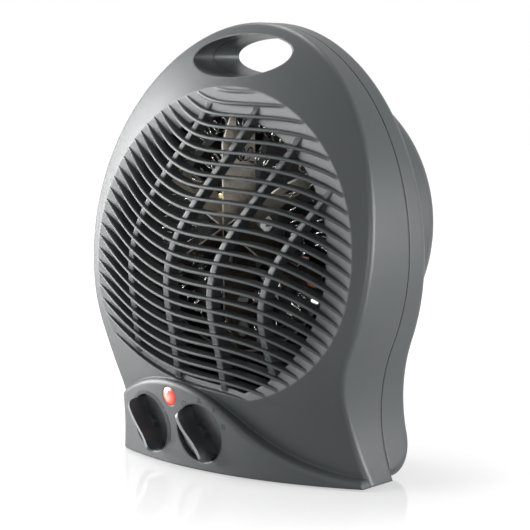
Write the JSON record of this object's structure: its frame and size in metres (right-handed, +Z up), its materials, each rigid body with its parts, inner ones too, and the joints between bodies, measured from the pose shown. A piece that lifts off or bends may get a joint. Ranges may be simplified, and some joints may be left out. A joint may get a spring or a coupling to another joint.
{
  "type": "fan space heater",
  "caption": "Upright fan heater with an oval moulded body, S-shaped grille fins over a coiled wire element, a carrying hole and two turning control knobs.",
  "frame": {"origin": "on the table under the middle of the heater, at the plane where the two shells meet", "axes": "+Z up, -Y the way the warm air leaves, +X to the right as seen from the front"},
  "size_m": [0.2128, 0.1239, 0.258],
  "materials": {
    "housing": "fine spark texture, charcoal grey",
    "grille_plastic": "satin moulding",
    "sheet_steel": "galvanised sheet",
    "mica": "pale mica sheet",
    "resistance_wire": "bright drawn alloy wire",
    "phenolic": "dark moulded phenolic",
    "plated_brass": "bright plated",
    "laminated_iron": "stacked laminations",
    "copper_winding": "enamelled copper wire",
    "rotor_metal": "turned",
    "ground_steel": "ground",
    "sintered_bronze": "sintered bronze",
    "screw_steel": "zinc plated",
    "fan_plastic": "moulded",
    "knob_plastic": "near-black, satin gloss",
    "red_lens": "clear red moulding",
    "lamp_glass": "clear glass",
    "foot_rubber": "matt",
    "gland_rubber": "matt",
    "block_plastic": "off-white nylon"
  },
  "bodies": {
    "heater": {"front_housing": "housing", "rear_housing": "housing", "intake_grille": "grille_plastic", "air_duct": "sheet_steel", "mica_board_left": "mica", "mica_board_upright": "mica", "mica_board_right": "mica", "outer_heating_coil": "resistance_wire", "inner_heating_coil": "resistance_wire", "thermal_cutout": "phenolic", "thermal_fuse": "plated_brass", "motor_bracket": "sheet_steel", "motor_stator": "laminated_iron", "motor_winding": "copper_winding", "front_bearing": "sintered_bronze", "rear_bearing": "sintered_bronze", "bearing_bridge": "sheet_steel", "motor_bolts": "screw_steel", "bracket_screws": "screw_steel", "duct_screws": "screw_steel", "housing_screws": "screw_steel", "thermostat_body": "phenolic", "function_switch": "phenolic", "control_nuts": "plated_brass", "lamp_lens": "red_lens", "neon_lamp": "lamp_glass", "rubber_feet": "foot_rubber", "cord_gland": "gland_rubber", "terminal_block": "block_plastic", "terminal_screws": "plated_brass"},
    "function_control": {"function_knob": "knob_plastic", "function_spindle": "ground_steel"},
    "thermostat_control": {"thermostat_knob": "knob_plastic", "thermostat_spindle": "ground_steel"},
    "fan": {"fan_impeller": "fan_plastic", "fan_clip": "screw_steel", "motor_shaft": "ground_steel", "motor_rotor": "rotor_metal"}
  },
  "joints": [
    {"name": "function_turn", "type": "hinge", "parent": "heater", "child": "function_control", "pos_m": [-0.0049, -0.05172, 0.0233], "axis": [0.0213, 0.99, 0.1391], "range_deg": [0, 102]},
    {"name": "thermostat_turn", "type": "hinge", "parent": "heater", "child": "thermostat_control", "pos_m": [-0.049, -0.04644, 0.0233], "axis": [0.213, 0.9675, 0.136], "range_deg": [0, 180]},
    {"name": "fan_spin", "type": "hinge", "parent": "heater", "child": "fan", "pos_m": [0, 0, 0.141], "axis": [0, 1, 0], "continuous": true}
  ]
}
